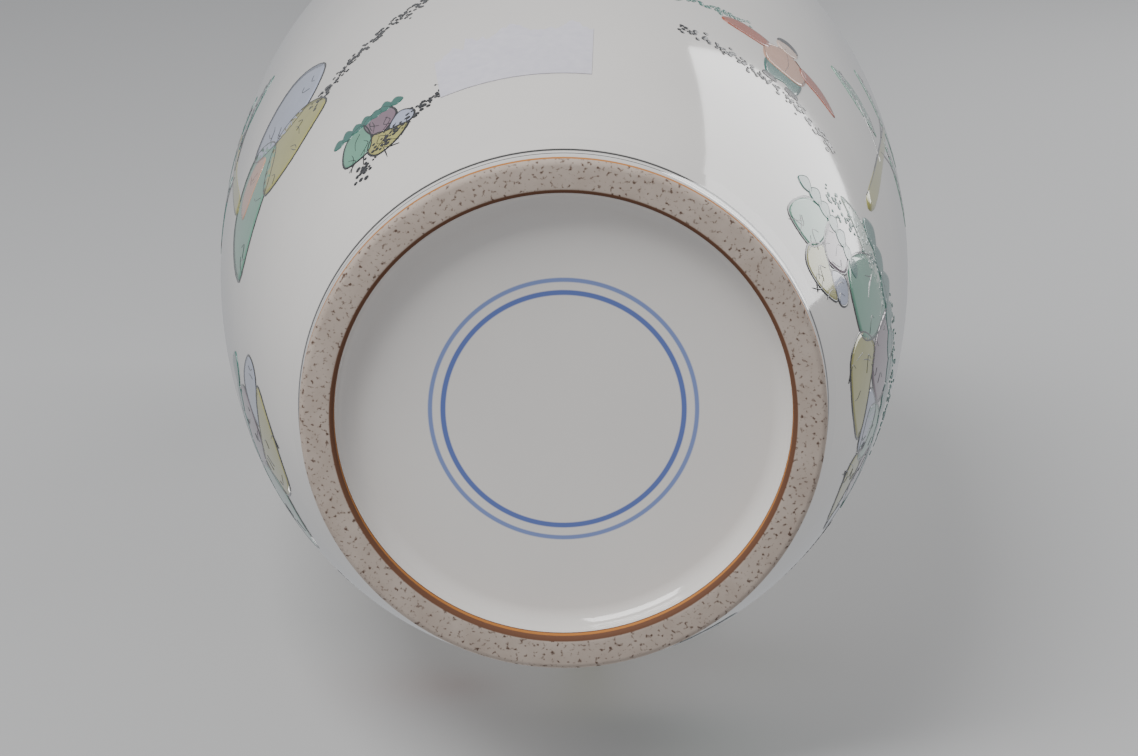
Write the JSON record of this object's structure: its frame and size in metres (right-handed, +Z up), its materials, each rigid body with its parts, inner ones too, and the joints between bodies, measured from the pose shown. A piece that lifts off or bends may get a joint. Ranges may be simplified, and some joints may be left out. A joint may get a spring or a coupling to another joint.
{
  "type": "famille verte vase",
  "caption": "Tall baluster vase of glazed porcelain: recessed base in an unglazed foot ring, swelling body, round shoulder, waisted neck and flared mouth.",
  "frame": {"origin": "on the axis, at the bottom of the foot ring, where the vase stands", "axes": "+Z up along the axis of the vase, towards its mouth; -Y is the top of the vase as it lies in the picture, +X is the picture's right"},
  "size_m": [0.202, 0.202, 0.45],
  "materials": {
    "glazed_porcelain": "clear gloss glaze over white porcelain",
    "biscuit_footrim": "unglazed matte biscuit"
  },
  "bodies": {
    "root": {"foot_ring": "biscuit_footrim", "base_floor": "glazed_porcelain", "lower_body": "glazed_porcelain", "upper_body": "glazed_porcelain", "neck": "glazed_porcelain", "mouth_rim": "glazed_porcelain"}
  },
  "joints": []
}
